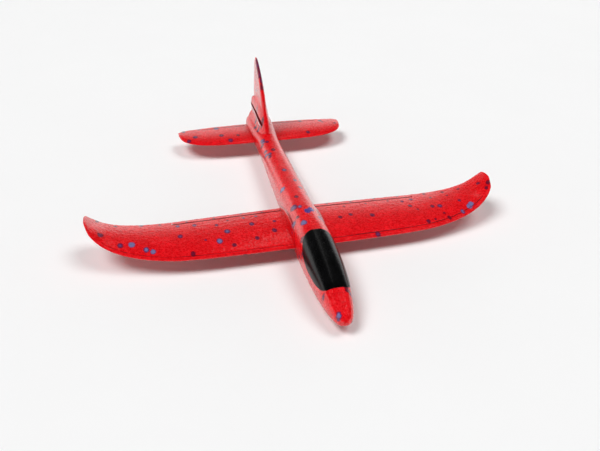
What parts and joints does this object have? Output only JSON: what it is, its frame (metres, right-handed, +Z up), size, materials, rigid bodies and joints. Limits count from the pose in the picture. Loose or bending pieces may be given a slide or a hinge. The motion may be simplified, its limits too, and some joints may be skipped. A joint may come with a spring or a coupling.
{
  "type": "hand-launch glider",
  "caption": "Small moulded-foam hand-launch glider with upswept wing tips, a flared tail boom, a fin with a spare tailplane slot and a gloss canopy.",
  "frame": {"origin": "middle of the footprint over the wing span and the length, on the plane of the flat belly", "axes": "+X along the span towards the port wing tip, -Y towards the nose, +Z up towards the fin"},
  "size_m": [0.49, 0.47, 0.124],
  "materials": {
    "foam": "satin beaded foam",
    "canopy_gloss": "gloss",
    "weight_steel": "plain turned"
  },
  "bodies": {
    "airframe": {"fuselage": "foam", "canopy": "canopy_gloss", "nose_weight": "weight_steel", "wing": "foam"},
    "flap_left": {"flap_left": "foam"},
    "flap_right": {"flap_right": "foam"},
    "tailplane": {"tailplane": "foam"},
    "elevator_left": {"elevator_left": "foam"},
    "elevator_right": {"elevator_right": "foam"}
  },
  "joints": [
    {"name": "flap_left_hinge", "type": "hinge", "parent": "airframe", "child": "flap_left", "pos_m": [0.02, -0.031, 0.01711], "axis": [0.9996, -0.0269, 0.001], "range_deg": [-20, 20]},
    {"name": "flap_right_hinge", "type": "hinge", "parent": "airframe", "child": "flap_right", "pos_m": [-0.02, -0.031, 0.01711], "axis": [0.9996, 0.0269, -0.001], "range_deg": [-20, 20]},
    {"name": "tailplane_slide", "type": "slide", "parent": "airframe", "child": "tailplane", "axis": [1, 0, 0], "range_m": [0, 0.146]},
    {"name": "elevator_left_hinge", "type": "hinge", "parent": "tailplane", "child": "elevator_left", "pos_m": [0.0215, 0.213, 0.02108], "axis": [0.999, -0.0451, 0.002], "range_deg": [-20, 20]},
    {"name": "elevator_right_hinge", "type": "hinge", "parent": "tailplane", "child": "elevator_right", "pos_m": [-0.0215, 0.213, 0.02108], "axis": [0.999, 0.0451, -0.002], "range_deg": [-20, 20]}
  ]
}
